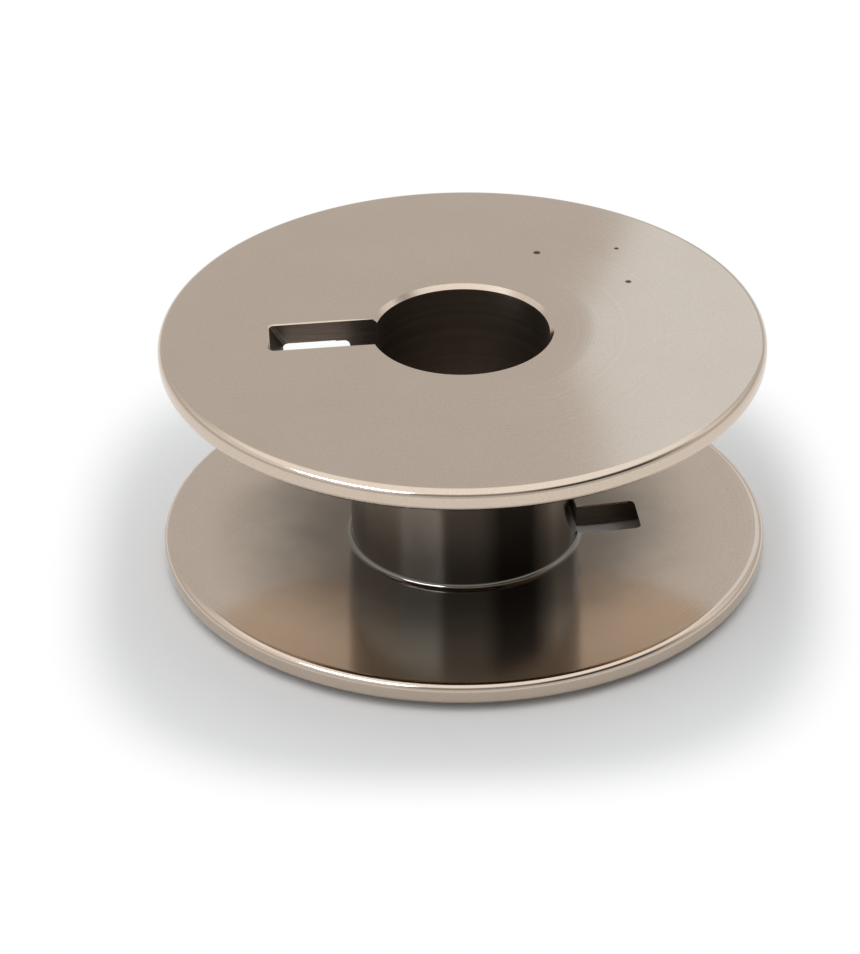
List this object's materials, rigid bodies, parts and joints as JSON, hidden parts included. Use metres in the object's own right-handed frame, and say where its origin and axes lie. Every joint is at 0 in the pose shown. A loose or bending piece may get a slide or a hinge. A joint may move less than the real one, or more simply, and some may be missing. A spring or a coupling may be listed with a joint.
{
  "type": "sewing machine bobbin",
  "caption": "Small plated steel bobbin with slightly coned round flanges on a plain hub, a through bore for the spindle and a narrow sawn slot in each flange; holds a sewing machine's lower thread.",
  "frame": {"origin": "centre of the bore at the hub's lower end, which the bobbin rests on", "axes": "+Z along the bore from the lower flange to the upper one; -X towards the upper flange's slot, +X towards the lower flange's slot"},
  "size_m": [0.021, 0.021, 0.0089],
  "materials": {
    "plated_steel": "nickel plated over fine turning marks, satin"
  },
  "bodies": {
    "root": {"bobbin": "plated_steel"}
  },
  "joints": []
}
